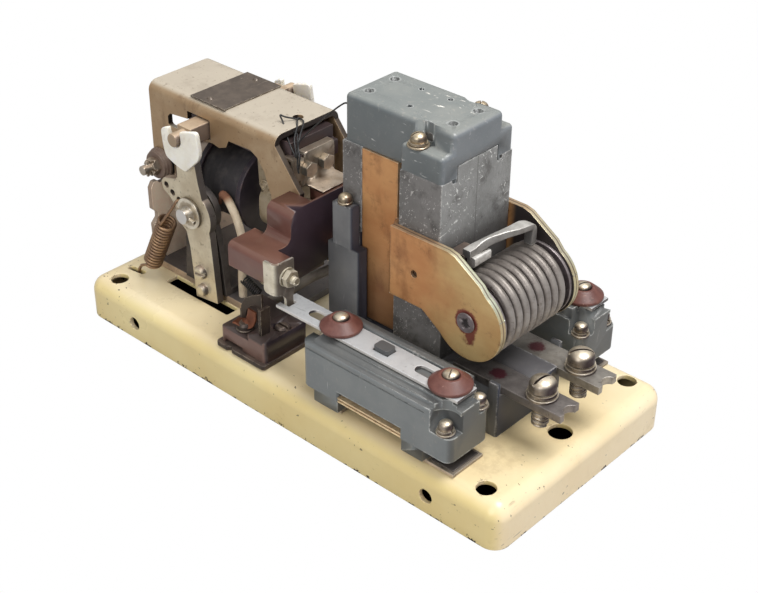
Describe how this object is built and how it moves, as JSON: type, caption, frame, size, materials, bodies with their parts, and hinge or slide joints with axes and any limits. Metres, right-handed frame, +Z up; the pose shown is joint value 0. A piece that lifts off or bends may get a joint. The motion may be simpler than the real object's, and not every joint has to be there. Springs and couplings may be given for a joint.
{
  "type": "dc contactor",
  "caption": "Single-pole dc contactor on a pressed cream base pan: yoke magnet, side levers with nylon forks, arc chute, blowout coil and auxiliary contact blocks.",
  "frame": {"origin": "centre of the base pan's bottom rim", "axes": "+X from the magnet end to the main terminals, +Y towards the rear long side, +Z up from the base"},
  "size_m": [0.272, 0.124, 0.1555],
  "materials": {
    "cream_enamel": "gloss enamel with chipped edges",
    "tan_zinc": "dull passivated zinc plate",
    "yellow_zinc": "yellow passivated zinc plate",
    "dull_steel": "dull plated steel",
    "dark_steel": "dark oxidised steel",
    "nickel": "satin nickel plate",
    "coppered_steel": "browned coppered spring wire",
    "copper": "bare copper",
    "tinned_copper": "tinned copper, dull",
    "copper_braid": "tinned braid",
    "aluminium_sheet": "satin sheet",
    "nylon": "white nylon",
    "brown_moulding": "moulded phenolic, satin",
    "grey_moulding": "moulded, matte",
    "light_grey_moulding": "arc-proof moulding, matte and scratched",
    "blue_grey_moulding": "moulded, satin",
    "black_moulding": "black moulded bobbin",
    "black_winding": "varnished tape over the winding",
    "red_fibre": "vulcanised fibre",
    "brown_fibre": "dark fibre",
    "bare_label": "bare plate, no text",
    "cream_sleeve": "woven sleeve",
    "dark_wire": "thin dark wire"
  },
  "bodies": {
    "frame": {"base": "cream_enamel", "magnet_foot": "tan_zinc", "yoke": "tan_zinc", "nameplate": "bare_label", "end_plate": "tan_zinc", "core": "dull_steel", "coil_winding": "black_winding", "coil_flanges": "black_moulding", "side_stud_front": "nickel", "side_stud_rear": "nickel", "side_washers_front": "brown_fibre", "side_washers_rear": "brown_fibre", "bearing_bracket_front": "dark_steel", "bearing_bracket_rear": "dark_steel", "pivot_pin_front": "nickel", "pivot_pin_rear": "nickel", "return_spring_front": "coppered_steel", "return_spring_rear": "coppered_steel", "aux_block_front": "blue_grey_moulding", "aux_block_rear": "blue_grey_moulding", "aux_screws_front": "nickel", "aux_screws_rear": "nickel", "aux_washers_front": "red_fibre", "aux_washers_rear": "red_fibre", "aux_bracket_front": "yellow_zinc", "aux_bracket_rear": "yellow_zinc", "contact_base": "grey_moulding", "chute_body": "light_grey_moulding", "chute_cap": "blue_grey_moulding", "cap_screws": "yellow_zinc", "pole_plate_front": "yellow_zinc", "pole_plate_rear": "yellow_zinc", "blowout_coil": "tinned_copper", "blowout_core": "dark_steel", "coil_strap": "tinned_copper", "fixed_contact": "copper", "terminal_bar_front": "tinned_copper", "terminal_bar_rear": "tinned_copper", "terminal_screw_front": "nickel", "terminal_screw_rear": "nickel", "small_block": "brown_moulding", "small_block_fittings": "dull_steel", "coil_lead": "cream_sleeve", "contact_cable": "copper_braid", "seal_wire": "dark_wire"},
    "armature": {"armature_bar": "tan_zinc", "inner_block": "brown_moulding", "armature_plate": "dull_steel", "armature_bracket": "nickel", "bracket_bolts": "yellow_zinc", "carrier": "brown_moulding", "carrier_clip_front": "nickel", "carrier_clip_rear": "nickel", "moving_contact": "copper"},
    "lever_set_front": {"lever_front": "dull_steel", "fork_front": "nylon"},
    "lever_set_rear": {"lever_rear": "dull_steel", "fork_rear": "nylon"},
    "strip_front": {"slide_strip_front": "aluminium_sheet"},
    "strip_rear": {"slide_strip_rear": "aluminium_sheet"}
  },
  "joints": [
    {"name": "armature_slide", "type": "slide", "parent": "frame", "child": "armature", "axis": [1, 0, 0], "range_m": [-0.0055, 0], "stiffness_N_per_m": 900, "springref_m": 0.006},
    {"name": "lever_front_swing", "type": "hinge", "parent": "frame", "child": "lever_set_front", "pos_m": [-0.0793, -0.0343, 0.071], "axis": [0, 1, 0], "range_deg": [-8.3, 0.05], "deforming": ["return_spring_front"]},
    {"name": "lever_rear_swing", "type": "hinge", "parent": "frame", "child": "lever_set_rear", "pos_m": [-0.0793, 0.0343, 0.071], "axis": [0, 1, 0], "range_deg": [-8.3, 0.05], "deforming": ["return_spring_rear"]},
    {"name": "strip_front_slide", "type": "slide", "parent": "frame", "child": "strip_front", "axis": [1, 0, 0], "range_m": [-0.0056, 0.0001]},
    {"name": "strip_rear_slide", "type": "slide", "parent": "frame", "child": "strip_rear", "axis": [1, 0, 0], "range_m": [-0.0056, 0.0001]}
  ],
  "couplings": [
    {"joint": "lever_front_swing", "follows": "armature_slide", "rad_per_m": 25.84},
    {"joint": "lever_rear_swing", "follows": "armature_slide", "rad_per_m": 25.84},
    {"joint": "strip_front_slide", "follows": "armature_slide", "ratio": 1},
    {"joint": "strip_rear_slide", "follows": "armature_slide", "ratio": 1}
  ]
}
